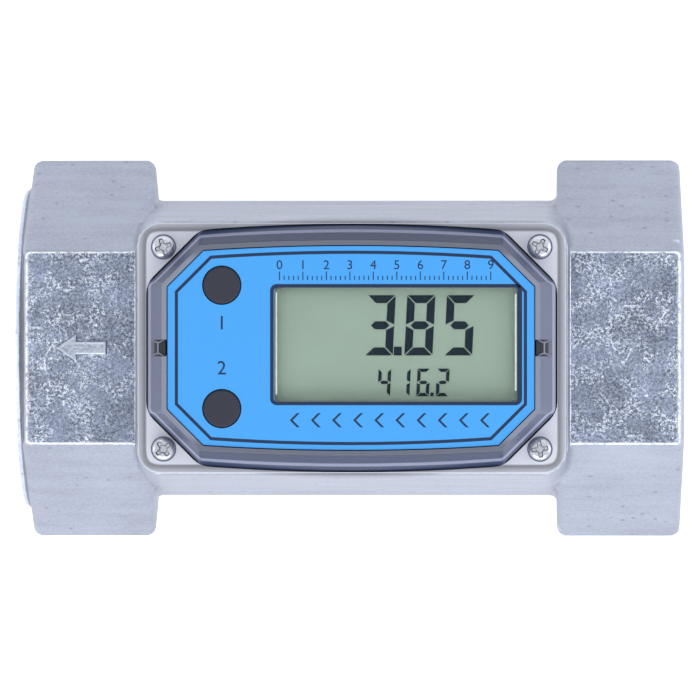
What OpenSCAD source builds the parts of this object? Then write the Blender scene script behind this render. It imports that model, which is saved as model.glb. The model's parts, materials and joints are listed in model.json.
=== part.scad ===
// Digital turbine flow meter of the 2 inch class, in millimetres.
// The display faces +Z. The liquid flows along X, from the inlet at +X to the outlet at -X.
// The back flats of the two hexagonal ports stand on Z = 0.

/* [Body casting] */
// Length of the casting between its two port faces
body_len = 143; // [136:1:156]
// Width of the hexagonal ports across their flats
hex_flats = 72; // [70:0.5:78]
// Length of each hexagonal port
port_len = 27.2; // [24:0.2:30]
// Rounding of the end edges of the ports
port_edge_r = 1.8; // [1:0.1:2.6]
// Width of the waist between the ports
waist_w = 65.2; // [62:0.2:68]
// Height of the round collar on the outlet face
collar_h = 1.5; // [0.5:0.1:3]
// Outer diameter of the collar
collar_d = 70; // [66:0.5:70]
// Height of the raised flow arrow
arrow_h = 0.5; // [0.2:0.1:1]

/* [Flow passage] */
// Radius of the threaded port bores, at the root of the thread
thread_r = 29.8; // [28:0.1:30.6]
// Depth of the threaded bores
thread_len = 26; // [22:0.5:28]
// Radius of the bore that the two rotor supports sit in
support_bore_r = 25; // [23:0.1:26]
// Half the length of the narrower land around the rotor
land_half = 10.5; // [10:0.1:12]
// Step from the support bore down to the land
land_step = 0.6; // [0.4:0.1:1]

/* [Rotor and supports] */
// Radius of the fixed shaft
shaft_r = 1.5; // [1.2:0.1:1.9]
// Radial running clearance of the bushes on the shaft
shaft_play = 0.05; // [0.02:0.01:0.1]
// Number of rotor blades
blade_count = 8; // [6:1:9]
// Length of the blades along the axis
blade_len = 14; // [10:0.5:15]
// Angle that a blade turns through along its length
blade_twist = 28; // [15:1:40]
// Clearance between the blade tips and the land
blade_gap = 0.8; // [0.5:0.1:1.5]
// Radius of the rotor hub and of the support hubs
hub_r = 7; // [6:0.1:8.5]
// Number of straightening vanes in each support
vane_count = 6; // [4:1:7]
// Thickness of a straightening vane
vane_t = 1.6; // [1:0.1:2.4]
// Length of the outer ring of a support
support_len = 13.9; // [12:0.1:16]

/* [Electronics case] */
// Length of the flange of the clear case
flange_len = 91.6; // [89:0.2:93]
// Width of the flange
flange_w = 53.5; // [53:0.1:55]
// Thickness of the flange
flange_t = 2.4; // [1.6:0.1:3]
// Corner radius of the flange
flange_r = 5; // [3:0.1:7]
// Height of the eight sided housing above the flange
case_h = 7.6; // [7.2:0.1:10]
// Wall of the clear case
case_wall = 1.6; // [1.2:0.1:1.8]
// Thickness of the clear roof under the label
roof_t = 2; // [1.6:0.1:2.2]
// How far the housing walls lean in from foot to top
case_lean = 3.35; // [2.8:0.05:3.6]

/* [Display and keys] */
// Label between the display window and the end of the housing top
window_end = 4.65; // [4.5:0.05:8]
// Width of the display window
window_w = 24.3; // [20:0.1:24.6]
// Diameter of a rubber key
key_d = 8; // [7:0.1:8.8]
// Distance of a key from the long edge of the housing top
key_side = 9.85; // [9.5:0.05:11]
// Travel of a key when it is pressed
key_travel = 0.8; // [0.5:0.05:0.9]
// Thickness of the face label
label_t = 0.25; // [0.15:0.05:0.4]

/* [Batteries and pickup] */
// Diameter of a battery cell
cell_d = 10.5; // [10:0.1:10.6]
// Length of a battery cell with its nub
cell_len = 44.5; // [42:0.5:46]
// Radius of the pickup winding
winding_r = 5.2; // [4:0.1:5.3]

/* [Hidden] */
$fn = 72;

// Shared small values
overrun = 1;            // how far a cut runs past the surface that it opens
slice_t = 0.01;         // thickness of a plate that only spans a hull
hull_fn = 32;           // sides of a round hull corner
edge_steps = 5;         // slices that round one port edge

// Places that follow from the body
axis_z = hex_flats / 2;
body_half = body_len / 2;
body_x = collar_h / 2;              // the casting sits off centre by half its one collar
port_inner = body_half - port_len;
front_flat_half = hex_flats / 2 * tan(30);

// Stack of the display, from the clear roof down to the board
rim_h = 0.6;                        // raised rim round the label
lcd_gap = 0.1;                      // glass below the roof
lcd_t = 2.2;
strip_h = 3;
board_t = 1.6;
board_lift = flange_t + case_h - rim_h - roof_t - lcd_gap - lcd_t - strip_h - board_t;

// Pocket of the batteries, which sets the height of the boss
floor_wall = 4.6;                   // metal between the land and the pocket
tray_top_t = 1.2;
cell_play = 0.15;
cell_under = 1.75;                  // room under the cells
seal_proud = 0.1;                   // gap that the seal keeps between flange and boss
land_r = support_bore_r - land_step;
pocket_floor = axis_z + land_r + floor_wall;
flange_z = pocket_floor + cell_under + cell_d + cell_play + tray_top_t - board_lift;
boss_top = flange_z - seal_proud;

// Boss and waist
boss_margin = 0.5;                  // boss past the flange, all round
boss_slope = 1.8;                   // how far the boss ends spread down to the axis
boss_len = flange_len + 2 * boss_margin;
boss_w = flange_w + 2 * boss_margin;
boss_r = flange_r + boss_margin;
waist_fillet = 1.2;                 // round corner between the waist and a port
foot_fillet = 1.2;                  // round corner between the boss and a front flat
fillet_steps = 6;
waist_bite = 1;                     // how far the waist runs into the ports

// Arrow on the outlet flat
arrow_tip_x = -63.9;
arrow_head_len = 4.35;
arrow_head_half = 2.9;
arrow_len = 11;
arrow_half = 1.35;

// Ports
port_chamfer = 1.6;                 // lead-in at the mouth of a threaded bore
groove_gap = 0.05;                  // play of a retaining ring along the bore
ring_w = 1.2;                       // width of a retaining ring along the bore
ring_out = 1;                       // depth of a retaining ring in its groove
ring_in = 1.4;                      // reach of a retaining ring into the bore
ring_play = 0.2;                    // groove past the ring
ring_gap_angle = 24;                // opening of the ring
ring_x = land_half + support_len + groove_gap;

// Rotor and supports
tip_r = land_r - blade_gap;
support_fit = 0.05;                 // radial fit of a support in its bore
support_ring_t = 2;
support_hub_len = 10.2;
nose_len = 8;
nose_steps = 8;
nose_tip_share = 0.18;              // flat tip of the nose over the hub radius
vane_inset = 1.5;                   // vane ends back from the ring ends
hub_face = land_half + 0.3;         // inner face of a support hub
shaft_seat = 6.4;                   // depth of the shaft seat in a hub
shaft_end_play = 0.2;
shaft_half = hub_face + shaft_seat - shaft_end_play;
washer_t = 0.7;
washer_r = 3.4;
end_play = 0.2;                     // rotor end play on each side
bush_end = hub_face - washer_t - end_play;
bush_len = 4.5;
bush_wall = 1.25;
bush_r = shaft_r + shaft_play + bush_wall;
rotor_relief = 0.5;                 // middle of the rotor bore clear of the shaft
rotor_hub_half = 8.5;
blade_root_t = 2.2;
blade_tip_t = 1.3;
blade_sink = 0.6;                   // blade root inside the hub
blade_slices = 8;
blade_segments = 8;                 // points along the outline of a blade
hub_chamfer = 0.8;
magnet_r = 0.45;
magnet_len = 6;
magnet_back = 0.6;                  // magnet end back from the blade tip
magnet_fit = 0.03;
magnet_step = 2;                    // every second blade holds a magnet

// Case
case_side = 2.1;                    // flange beside the housing, at its ends
case_edge = 0.4;                    // flange beside the housing, at its long sides
foot_cut = 11.4;                    // corner cut of the housing at its foot
top_cut = 8.4;                      // corner cut of the housing at its top
foot_bow = 1.3;                     // how far the long sides bow out
top_bow = 1.05;
bow_steps = 12;
foot_half_x = flange_len / 2 - case_side;
foot_half_y = flange_w / 2 - case_edge;
top_half_x = foot_half_x - case_lean;
top_half_y = foot_half_y - case_lean;
flange_top = flange_z + flange_t;
case_top = flange_top + case_h;
rim_w = 1.1;                        // width of the rim round the label
label_gap = 0.2;                    // play of the label inside the rim
corner_share = 2 - sqrt(2);         // change of a 45 degree corner cut per inset
label_z = case_top - rim_h;
roof_z = label_z - roof_t;          // underside of the clear roof
cavity_x = top_half_x - case_wall;
cavity_y = top_half_y - case_wall;
cavity_cut = top_cut - case_wall * corner_share;

// Screws of the case
screw_in_x = 5.5;                   // screw axis back from the flange end
screw_in_y = 5.1;
screw_x = flange_len / 2 - screw_in_x;
screw_y = flange_w / 2 - screw_in_y;
screw_r = 1.45;
screw_hole_r = 1.5;
screw_pass_r = 1.7;                 // hole in the flange
screw_len = 7;                      // shank below the flange
screw_hole_len = 8;
head_r = 2.8;
head_h = 1.9;
head_edge_h = 0.7;
head_steps = 6;
recess_len = 3.3;
recess_w = 0.75;
recess_h = 1.1;

// Frame, display and keys
frame_play = 0.25;                  // frame inside the clear case
frame_x = cavity_x - frame_play;
frame_y = cavity_y - frame_play;
frame_cut = cavity_cut - frame_play * corner_share;
frame_rim = 1.2;                    // wall round the frame
frame_web = 1.5;                    // plate of the frame that the display sits in
key_end = 12.85;                    // key axis back from the end of the housing top
key_x = key_end - top_half_x;
key_to_window = 11.15;
window_x0 = key_x + key_to_window;
window_x1 = top_half_x - window_end;
window_len = window_x1 - window_x0;
window_x = (window_x0 + window_x1) / 2;
window_y = 0.7;                     // window centre from the case centre
window_r = 0.8;
lcd_margin = 0.5;                   // glass past the window, all round
lcd_fit = 0.15;
lcd_len = window_len + 2 * lcd_margin;
lcd_w = window_w + 2 * lcd_margin;
strip_w = 2;
strip_in = 0.6;                     // strip back from the glass edge
strip_end = 2;                      // strip end back from the glass end
lcd_z = roof_z - lcd_gap - lcd_t;
board_top = lcd_z - strip_h;
board_play = 0.4;
key_y = 0.22;                       // middle of the two keys
key_pitch = 2 * (top_half_y - key_side);
key_r = key_d / 2;
key_gap = 0.2;                      // hole past the key
key_skirt = 1.1;                    // skirt that holds the key in
key_skirt_t = 0.8;
key_skirt_gap = 0.2;
key_proud = 0.35;                   // key past the label
key_crown = 0.3;
key_stem_r = 1.7;
switch_w = 6;
switch_base_h = 1.5;
switch_cap_r = 1.6;
switch_cap_h = 0.5;
press_gap = 0.15;                   // left under a key that is fully pressed
latch_w = 3.2;
latch_h = 1.4;
latch_play = 0.15;
latch_out = 2.2;                    // latch past the frame
latch_drop = 1.7;                   // top of the latch below the roof

// Pocket, seal and battery tray
pocket_wall = 2.2;                  // seat of the seal round the pocket
seal_w = 1.8;
seal_h = 1.5;
seal_in = 1;                        // seal back from the housing foot
pocket_x = foot_half_x - seal_in - seal_w - pocket_wall;
pocket_y = foot_half_y - seal_in - seal_w - pocket_wall;
pocket_cut = foot_cut - (seal_in + seal_w + pocket_wall) * corner_share;
tray_wall = 1.3;
cell_r = cell_d / 2;
cell_y = winding_r + 1.2 * tray_wall + tray_wall + cell_r;
contact_room = 1.6;
contact_t = 0.4;
contact_half = 3.6;
contact_bump_r = 2;
nub_r = 1.9;
nub_len = 1;
board_under = board_top - board_t;
cell_z = board_under - tray_top_t - cell_play - cell_r;
tray_x = cell_len / 2 + contact_room + tray_wall;
tray_y = cell_y + cell_r + cell_play + tray_wall;

// Pickup
coil_floor_wall = 1.5;              // metal between the land and the coil
coil_play = 0.3;
bobbin_flange = 0.6;                // flange past the winding
bobbin_flange_t = 0.8;
bobbin_core_r = 1.9;
winding_fit = 0.05;
coil_hole_r = winding_r + bobbin_flange + coil_play;
coil_hole_z = axis_z + land_r + coil_floor_wall;
bobbin_z = coil_hole_z + coil_play;

// Chip under the display
chip_w = 10;
chip_t = 1.2;

// Outline of the housing: cut corners, and long sides that bow out by a parabola
function bowed(reach, half, bow) =
    [for (i = [0:bow_steps]) let (s = 1 - 2 * i / bow_steps) [reach * s, half - bow * s * s]];
function octagon_points(hx, hy, cut, bow) =
    let (long_side = bowed(hx - cut, hy, bow), end_y = hy - bow - cut)
    concat(
        [[hx, end_y]], long_side, [[-hx, end_y], [-hx, -end_y]],
        [for (p = long_side) [-p[0], -p[1]]], [[hx, -end_y]]
    );
module octagon(hx, hy, cut, bow) polygon(octagon_points(hx, hy, cut, bow));
// Plan outline of the foot or the top of the housing, drawn in by an inset
module foot_outline(inset)
    octagon(foot_half_x - inset, foot_half_y - inset, foot_cut - inset * corner_share, foot_bow);
module top_outline(inset)
    octagon(top_half_x - inset, top_half_y - inset, top_cut - inset * corner_share, top_bow);
module rounded_rect(len, w, r) {
    square([len - 2 * r, w], center = true);
    square([len, w - 2 * r], center = true);
    for (sx = [-1, 1], sy = [-1, 1]) translate([sx * (len / 2 - r), sy * (w / 2 - r)]) circle(r = r);
}
// Everything is placed from the middle of the casting
module at_body() translate([body_x, 0, 0]) children();
// Turns a shape made along +Z about the origin to lie along +X on the flow axis
module on_axis() translate([0, 0, axis_z]) rotate([0, 90, 0]) children();
module round_x(r, x0, x1) translate([x0, 0, 0]) on_axis() cylinder(r = r, h = x1 - x0);
module at_screws()
    for (sx = [-1, 1], sy = [-1, 1]) translate([sx * screw_x, sy * screw_y, 0]) children();
module at_keys()
    for (side = [-1, 1]) translate([key_x, key_y + side * key_pitch / 2, 0]) children();

// Body casting
module hex_plate(flats, x)
    translate([x, 0, 0]) on_axis() rotate([0, 0, 30])
        cylinder(r = flats / 2 / cos(30), h = slice_t, $fn = 6);
module port_block() {
    hull() for (i = [0:edge_steps]) {
        a = 90 * i / edge_steps;
        flats = hex_flats - 2 * port_edge_r * (1 - sin(a));
        step = port_edge_r * (1 - cos(a));
        hex_plate(flats, port_inner + step);
        hex_plate(flats, body_half - step - slice_t);
    }
}
module boss_block() {
    hull() {
        translate([0, 0, boss_top - slice_t]) linear_extrude(slice_t)
            rounded_rect(boss_len, boss_w, boss_r, $fn = hull_fn);
        translate([0, 0, axis_z]) linear_extrude(slice_t)
            rounded_rect(boss_len + 2 * boss_slope, waist_w, boss_r, $fn = hull_fn);
    }
}
// Profile that fills the corner between a wall on X = 0 and a surface on Y = 0
module corner_fill(r, sink)
    polygon(concat(
        [[-sink, -sink], [r, -sink]],
        [for (i = [0:fillet_steps]) let (a = 90 * i / fillet_steps) [r * (1 - sin(a)), r * (1 - cos(a))]],
        [[-sink, r]]
    ));
module waist_ring()
    translate([port_inner, 0, 0]) on_axis() mirror([0, 0, 1])
        rotate_extrude() translate([waist_w / 2, 0]) corner_fill(waist_fillet, waist_bite);
module boss_foot() {
    foot_x = boss_len / 2 + boss_slope * (boss_top - hex_flats) / (boss_top - axis_z);
    translate([foot_x, front_flat_half, hex_flats])
        rotate([90, 0, 0]) linear_extrude(2 * front_flat_half) corner_fill(foot_fillet, waist_bite);
}
module flow_arrow()
    translate([0, 0, hex_flats - overrun]) linear_extrude(arrow_h + overrun)
        polygon([
            [arrow_tip_x, 0], [arrow_tip_x + arrow_head_len, arrow_head_half],
            [arrow_tip_x + arrow_head_len, arrow_half], [arrow_tip_x + arrow_len, arrow_half],
            [arrow_tip_x + arrow_len, -arrow_half], [arrow_tip_x + arrow_head_len, -arrow_half],
            [arrow_tip_x + arrow_head_len, -arrow_head_half]
        ]);
module body_shape() {
    port_block();
    mirror([1, 0, 0]) port_block();
    boss_block();
    round_x(waist_w / 2, -port_inner - waist_bite, port_inner + waist_bite);
    for (side = [0, 1]) mirror([side, 0, 0]) {
        waist_ring();
        boss_foot();
    }
    round_x(collar_d / 2, -body_half - collar_h, -body_half + overrun);
    flow_arrow();
}
module port_cuts(face) {
    round_x(thread_r, body_half - thread_len, face + overrun);
    translate([face - port_chamfer, 0, 0]) on_axis()
        cylinder(r1 = thread_r, r2 = thread_r + port_chamfer + overrun, h = port_chamfer + overrun);
    round_x(support_bore_r, land_half, body_half);
    round_x(support_bore_r + ring_out + ring_play, ring_x - groove_gap, ring_x + ring_w + groove_gap);
}
module body_casting() color("silver") at_body() difference() {
    body_shape();
    round_x(land_r, -body_half, body_half);
    port_cuts(body_half);
    mirror([1, 0, 0]) port_cuts(body_half + collar_h);
    translate([0, 0, pocket_floor]) linear_extrude(boss_top - pocket_floor + overrun)
        octagon(pocket_x, pocket_y, pocket_cut, foot_bow);
    translate([0, 0, boss_top - seal_h]) linear_extrude(seal_h + overrun) difference() {
        foot_outline(seal_in);
        foot_outline(seal_in + seal_w);
    }
    translate([0, 0, coil_hole_z]) cylinder(r = coil_hole_r, h = pocket_floor - coil_hole_z + overrun);
    at_screws() translate([0, 0, boss_top - screw_hole_len])
        cylinder(r = screw_hole_r, h = screw_hole_len + overrun);
}

// Rotor supports: a hub on straightening vanes inside a ring, with a rounded nose up the flow
function nose_points() = concat(
    [[0, 0]],
    [for (i = [0:nose_steps]) let (a = 90 * i / nose_steps, tip = hub_r * nose_tip_share)
        [tip + (hub_r - tip) * cos(a), nose_len * sin(a)]],
    [[0, nose_len]]
);
module support() {
    ring_r = support_bore_r - support_fit;
    difference() {
        union() {
            difference() {
                round_x(ring_r, land_half, land_half + support_len);
                round_x(ring_r - support_ring_t, land_half - overrun, land_half + support_len + overrun);
            }
            round_x(hub_r, hub_face, hub_face + support_hub_len);
            translate([hub_face + support_hub_len, 0, 0]) on_axis() rotate_extrude() polygon(nose_points());
            for (i = [0:vane_count - 1])
                translate([land_half + vane_inset, 0, axis_z]) rotate([360 * i / vane_count, 0, 0])
                    translate([0, -vane_t / 2, 0])
                        cube([support_len - 2 * vane_inset, vane_t, ring_r - support_ring_t / 2]);
        }
        round_x(shaft_r + shaft_play, hub_face - overrun, hub_face + shaft_seat);
    }
}
module inlet_support() color("dimgray") at_body() support();
module outlet_support() color("dimgray") at_body() mirror([1, 0, 0]) support();
module rotor_shaft() color("lightsteelblue") at_body() round_x(shaft_r, -shaft_half, shaft_half);

// Rotor: a hub with helical blades that are thick at the root and thin at the tip
module blade_profile(reach) {
    root = hub_r - blade_sink;
    polygon([
        [root, -blade_root_t / 2], [reach, -blade_tip_t / 2],
        [reach, blade_tip_t / 2], [root, blade_root_t / 2]
    ]);
}
module magnet_pins(r, end_r, from_r)
    for (i = [0:magnet_step:blade_count - 1]) rotate([0, 0, 360 * i / blade_count])
        translate([from_r, 0, 0]) rotate([0, 90, 0]) cylinder(r = r, h = end_r - from_r, $fn = 24);
module rotor() color("ivory") at_body() on_axis() difference() {
    union() {
        translate([0, 0, -rotor_hub_half + hub_chamfer])
            cylinder(r = hub_r, h = 2 * (rotor_hub_half - hub_chamfer));
        for (side = [0, 1]) mirror([0, 0, side]) translate([0, 0, rotor_hub_half - hub_chamfer])
            cylinder(r1 = hub_r, r2 = hub_r - hub_chamfer, h = hub_chamfer);
        rotate([0, 0, blade_twist / 2]) linear_extrude(blade_len, center = true, twist = blade_twist,
            slices = blade_slices, segments = blade_segments)
            for (i = [0:blade_count - 1]) rotate([0, 0, 360 * i / blade_count]) blade_profile(tip_r);
    }
    translate([0, 0, -rotor_hub_half - overrun])
        cylinder(r = shaft_r + shaft_play + rotor_relief, h = 2 * (rotor_hub_half + overrun));
    for (side = [0, 1]) mirror([0, 0, side]) translate([0, 0, bush_end - bush_len])
        cylinder(r = bush_r, h = bush_len);
    magnet_pins(magnet_r + magnet_fit, tip_r + overrun, tip_r - magnet_back - magnet_len - magnet_fit);
}
module rotor_magnets() color("gray") at_body() on_axis()
    magnet_pins(magnet_r, tip_r - magnet_back, tip_r - magnet_back - magnet_len);
module rotor_bushes() color("white") at_body() on_axis()
    for (side = [0, 1]) mirror([0, 0, side]) difference() {
        translate([0, 0, bush_end - bush_len]) cylinder(r = bush_r, h = bush_len);
        translate([0, 0, bush_end - bush_len - overrun])
            cylinder(r = shaft_r + shaft_play, h = bush_len + 2 * overrun);
    }
module thrust_washers() color("gainsboro") at_body() on_axis()
    for (side = [0, 1]) mirror([0, 0, side]) translate([0, 0, hub_face - washer_t]) difference() {
        cylinder(r = washer_r, h = washer_t);
        translate([0, 0, -overrun]) cylinder(r = shaft_r + shaft_play, h = washer_t + 2 * overrun);
    }
module retaining_ring() {
    outer = support_bore_r + ring_out;
    inner = support_bore_r - ring_in;
    difference() {
        cylinder(r = outer, h = ring_w);
        translate([0, 0, -overrun]) cylinder(r = inner, h = ring_w + 2 * overrun);
        translate([0, 0, -overrun]) linear_extrude(ring_w + 2 * overrun)
            polygon([[0, 0], [2 * outer, 2 * outer * tan(ring_gap_angle / 2)],
                [2 * outer, -2 * outer * tan(ring_gap_angle / 2)]]);
    }
}
module retaining_rings() color("darkgray") at_body() on_axis()
    for (side = [0, 1]) mirror([0, 0, side]) translate([0, 0, ring_x]) retaining_ring();

// Seal, clear case and screws
module case_seal() color("black") at_body()
    translate([0, 0, boss_top - seal_h]) linear_extrude(seal_h + seal_proud) difference() {
        foot_outline(seal_in);
        foot_outline(seal_in + seal_w);
    }
module latch_block()
    translate([frame_x - frame_rim / 2, -latch_w / 2, roof_z - latch_drop - latch_h])
        cube([latch_out + frame_rim / 2, latch_w, latch_h]);
// Slot through the end wall and the rim, where the latch of the frame snaps in
module latch_slot() {
    start_x = top_half_x - rim_w - label_gap;
    start_z = roof_z - latch_drop - latch_h - latch_play;
    translate([start_x, -latch_w / 2 - latch_play, start_z])
        cube([flange_len / 2 - start_x, latch_w + 2 * latch_play, case_top - start_z + overrun]);
}
module electronics_case() color("lightsteelblue", 0.5) at_body() difference() {
    union() {
        translate([0, 0, flange_z]) linear_extrude(flange_t) rounded_rect(flange_len, flange_w, flange_r);
        hull() {
            translate([0, 0, flange_top - slice_t]) linear_extrude(slice_t) foot_outline(0);
            translate([0, 0, case_top - slice_t]) linear_extrude(slice_t) top_outline(0);
        }
    }
    hull() {
        translate([0, 0, flange_z - slice_t]) linear_extrude(slice_t) foot_outline(case_wall + seal_w);
        translate([0, 0, roof_z - slice_t]) linear_extrude(slice_t)
            octagon(cavity_x, cavity_y, cavity_cut, top_bow);
    }
    translate([0, 0, label_z]) linear_extrude(rim_h + overrun) top_outline(rim_w);
    at_keys() translate([0, 0, roof_z - overrun]) cylinder(r = key_r + key_gap, h = roof_t + 2 * overrun);
    at_screws() translate([0, 0, flange_z - overrun])
        cylinder(r = screw_pass_r, h = flange_t + 2 * overrun);
    for (side = [0, 1]) mirror([side, 0, 0]) latch_slot();
}
function head_points() = concat(
    [[0, 0], [head_r, 0]],
    [for (i = [0:head_steps]) let (a = 90 * i / head_steps)
        [head_r * cos(a), head_edge_h + (head_h - head_edge_h) * sin(a)]]
);
module cover_screw() difference() {
    union() {
        rotate_extrude() polygon(head_points());
        translate([0, 0, -flange_t - screw_len])
            cylinder(r = screw_r, h = flange_t + screw_len + head_edge_h);
    }
    for (turn = [0, 90]) rotate([0, 0, turn])
        translate([-recess_len / 2, -recess_w / 2, head_h - recess_h]) cube([recess_len, recess_w, recess_h]);
}
module cover_screws() color("gainsboro") at_body() translate([0, 0, flange_top]) at_screws() cover_screw();

// Face label and keys
module window_hole(grow) translate([window_x, window_y])
    rounded_rect(window_len + 2 * grow, window_w + 2 * grow, window_r + grow);
module face_label() color("dodgerblue") at_body()
    translate([0, 0, label_z]) linear_extrude(label_t) difference() {
        top_outline(rim_w + label_gap);
        window_hole(0);
        at_keys() circle(r = key_r + key_gap);
    }
module key_shape() {
    skirt_z = roof_z - key_skirt_gap - key_skirt_t;
    key_z = label_z + label_t + key_proud;
    stem_z = board_top + switch_base_h + switch_cap_h + key_travel + press_gap;
    translate([0, 0, skirt_z]) cylinder(r = key_r, h = key_z - key_crown - skirt_z);
    translate([0, 0, key_z - key_crown]) cylinder(r1 = key_r, r2 = key_r - key_crown, h = key_crown);
    translate([0, 0, skirt_z]) cylinder(r = key_r + key_skirt, h = key_skirt_t);
    translate([0, 0, stem_z]) cylinder(r = key_stem_r, h = skirt_z - stem_z + slice_t);
}
module key(side) color("dimgray") at_body()
    translate([key_x, key_y + side * key_pitch / 2, 0]) key_shape();
module upper_key() key(1);
module lower_key() key(-1);

// Frame that carries the display, and what it holds
module display_frame() color("darkslategray") at_body() difference() {
    union() {
        translate([0, 0, board_top]) linear_extrude(roof_z - board_top)
            octagon(frame_x, frame_y, frame_cut, top_bow);
        for (side = [0, 1]) mirror([side, 0, 0]) latch_block();
    }
    translate([0, 0, board_top - overrun]) linear_extrude(roof_z - frame_web - board_top + overrun)
        octagon(frame_x - frame_rim, frame_y - frame_rim, frame_cut - frame_rim * corner_share, top_bow);
    translate([window_x, window_y, board_top - overrun]) linear_extrude(roof_z - board_top + 2 * overrun)
        square([lcd_len + 2 * lcd_fit, lcd_w + 2 * lcd_fit], center = true);
    at_keys() translate([0, 0, board_top - overrun])
        cylinder(r = key_r + key_skirt + key_gap, h = roof_z - board_top + 2 * overrun);
}
module lcd_glass() color("darkseagreen") at_body()
    translate([window_x - lcd_len / 2, window_y - lcd_w / 2, lcd_z]) cube([lcd_len, lcd_w, lcd_t]);
module contact_strips() color("dimgray") at_body()
    for (side = [-1, 1])
        translate([window_x - lcd_len / 2 + strip_end, window_y - strip_w / 2, board_top])
            translate([0, side * (lcd_w / 2 - strip_in - strip_w / 2), 0])
                cube([lcd_len - 2 * strip_end, strip_w, strip_h]);
module circuit_board() color("seagreen") at_body()
    translate([0, 0, board_under]) linear_extrude(board_t)
        octagon(frame_x - board_play, frame_y - board_play, frame_cut - board_play * corner_share, top_bow);
module controller_chip() color("black") at_body()
    translate([window_x - chip_w / 2, window_y - chip_w / 2, board_top]) cube([chip_w, chip_w, chip_t]);
module key_switches() color("gray") at_body() at_keys() translate([0, 0, board_top]) {
    translate([-switch_w / 2, -switch_w / 2, 0]) cube([switch_w, switch_w, switch_base_h]);
    cylinder(r = switch_cap_r, h = switch_base_h + switch_cap_h);
}

// Battery tray under the board, its cells and contacts
module at_cells() for (side = [-1, 1]) translate([0, side * cell_y, cell_z]) children();
module battery_tray() color("black") at_body() difference() {
    translate([-tray_x, -tray_y, pocket_floor]) cube([2 * tray_x, 2 * tray_y, board_under - pocket_floor]);
    at_cells() {
        room = tray_x - tray_wall;
        translate([-room, 0, 0]) rotate([0, 90, 0]) cylinder(r = cell_r + cell_play, h = 2 * room);
        translate([-room, -cell_r - cell_play, -cell_z])
            cube([2 * room, 2 * (cell_r + cell_play), cell_z]);
    }
    translate([0, 0, pocket_floor - overrun])
        cylinder(r = coil_hole_r, h = board_under - pocket_floor + 2 * overrun);
}
module battery_cells() color("goldenrod") at_body() at_cells() translate([-cell_len / 2, 0, 0])
    rotate([0, 90, 0]) {
        cylinder(r = cell_r, h = cell_len - nub_len);
        translate([0, 0, cell_len - nub_len]) cylinder(r = nub_r, h = nub_len);
    }
module battery_contacts() color("silver") at_body() at_cells()
    for (side = [0, 1]) mirror([side, 0, 0]) {
        translate([cell_len / 2 + contact_room - contact_t, -contact_half, -contact_half])
            cube([contact_t, 2 * contact_half, 2 * contact_half]);
        translate([cell_len / 2, 0, 0]) rotate([0, 90, 0])
            cylinder(r = contact_bump_r, h = contact_room - contact_t + slice_t);
    }

// Pickup over the rotor
module pickup_bobbin() color("ivory") at_body() translate([0, 0, bobbin_z]) {
    flange_r = winding_r + bobbin_flange;
    height = board_under - bobbin_z;
    cylinder(r = flange_r, h = bobbin_flange_t);
    cylinder(r = bobbin_core_r, h = height);
    translate([0, 0, height - bobbin_flange_t]) cylinder(r = flange_r, h = bobbin_flange_t);
}
module pickup_winding() color("peru") at_body()
    translate([0, 0, bobbin_z + bobbin_flange_t]) difference() {
        height = board_under - bobbin_z - 2 * bobbin_flange_t;
        cylinder(r = winding_r, h = height);
        translate([0, 0, -overrun]) cylinder(r = bobbin_core_r + winding_fit, h = height + 2 * overrun);
    }

body_casting();
inlet_support();
outlet_support();
rotor_shaft();
rotor();
rotor_bushes();
rotor_magnets();
thrust_washers();
retaining_rings();
case_seal();
electronics_case();
cover_screws();
face_label();
upper_key();
lower_key();
display_frame();
lcd_glass();
contact_strips();
circuit_board();
controller_chip();
key_switches();
battery_tray();
battery_cells();
battery_contacts();
pickup_bobbin();
pickup_winding();
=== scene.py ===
# %% [markdown]
# A digital turbine flow meter, seen from straight above its display.
# The real thing is one die cast aluminium body with two hexagonal ports, a clear smoky cover on its
# boss, and a blue label with a window and two rubber keys. Everything here is in metres, in the frame
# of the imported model: X runs along the flow, Y runs up the picture, and Z comes out of the display.

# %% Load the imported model
import json
import math

import bmesh
import bpy
import numpy as np
from mathutils import Matrix, Vector
from mathutils.bvhtree import BVHTree

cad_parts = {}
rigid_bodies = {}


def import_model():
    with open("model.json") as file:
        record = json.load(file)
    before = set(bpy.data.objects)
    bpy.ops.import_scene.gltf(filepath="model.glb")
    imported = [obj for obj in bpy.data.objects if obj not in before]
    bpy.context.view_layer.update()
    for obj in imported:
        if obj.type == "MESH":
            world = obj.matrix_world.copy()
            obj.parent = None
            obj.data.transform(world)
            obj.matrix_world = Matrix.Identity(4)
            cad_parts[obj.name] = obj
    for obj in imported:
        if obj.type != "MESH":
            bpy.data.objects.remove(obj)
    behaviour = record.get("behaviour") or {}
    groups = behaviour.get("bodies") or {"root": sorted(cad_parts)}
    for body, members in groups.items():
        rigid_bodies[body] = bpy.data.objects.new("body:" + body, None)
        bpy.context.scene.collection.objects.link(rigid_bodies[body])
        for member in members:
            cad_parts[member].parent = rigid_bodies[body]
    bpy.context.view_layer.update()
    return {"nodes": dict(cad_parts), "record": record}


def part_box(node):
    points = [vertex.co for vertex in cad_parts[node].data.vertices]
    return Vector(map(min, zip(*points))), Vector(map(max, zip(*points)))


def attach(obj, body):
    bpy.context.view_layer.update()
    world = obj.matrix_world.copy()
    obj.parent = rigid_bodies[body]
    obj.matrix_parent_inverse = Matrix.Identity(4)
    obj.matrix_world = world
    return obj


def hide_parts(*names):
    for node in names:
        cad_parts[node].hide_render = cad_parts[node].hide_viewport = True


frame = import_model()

nodes = frame["nodes"]

# %% [markdown]
# A few places of the real object are needed again and again, such as the flow axis or the top of the
# label. They are read from the CAD nodes where a node shows them, so that a piece never floats.

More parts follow.
